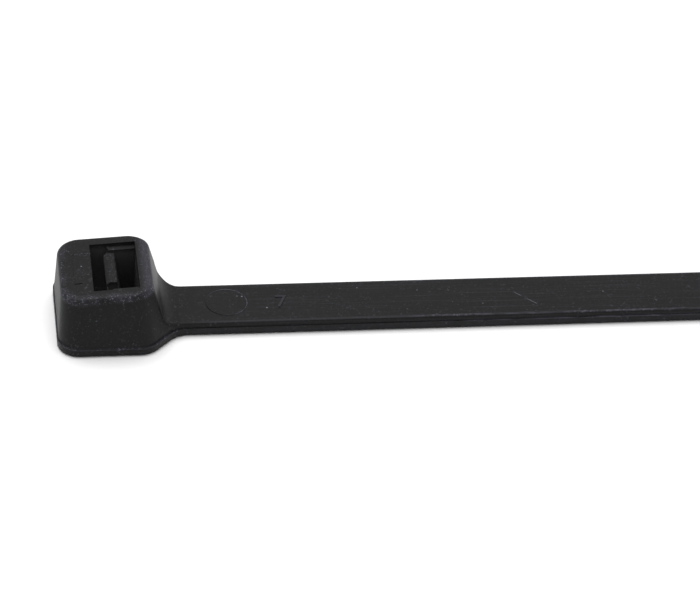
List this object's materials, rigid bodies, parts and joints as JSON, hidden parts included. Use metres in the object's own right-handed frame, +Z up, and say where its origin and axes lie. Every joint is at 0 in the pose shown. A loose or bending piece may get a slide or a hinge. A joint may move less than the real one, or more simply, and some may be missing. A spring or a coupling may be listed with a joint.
{
  "type": "cable tie",
  "caption": "One-piece moulded nylon cable tie with a slotted locking head, a pawl inside it and a toothed strap that thins to a round tail.",
  "frame": {"origin": "centre of the slot in the head, on the flat underside that the tie rests on", "axes": "+X along the strap from the head to the tail, +Y across the strap, +Z up through the slot, the way the tail leaves the head"},
  "size_m": [0.2001, 0.0152, 0.0084],
  "materials": {
    "nylon": "satin black nylon with fine moulded grain, pale wear along the head's top edges and dust"
  },
  "bodies": {
    "root": {"tie_moulding": "nylon"}
  },
  "joints": []
}
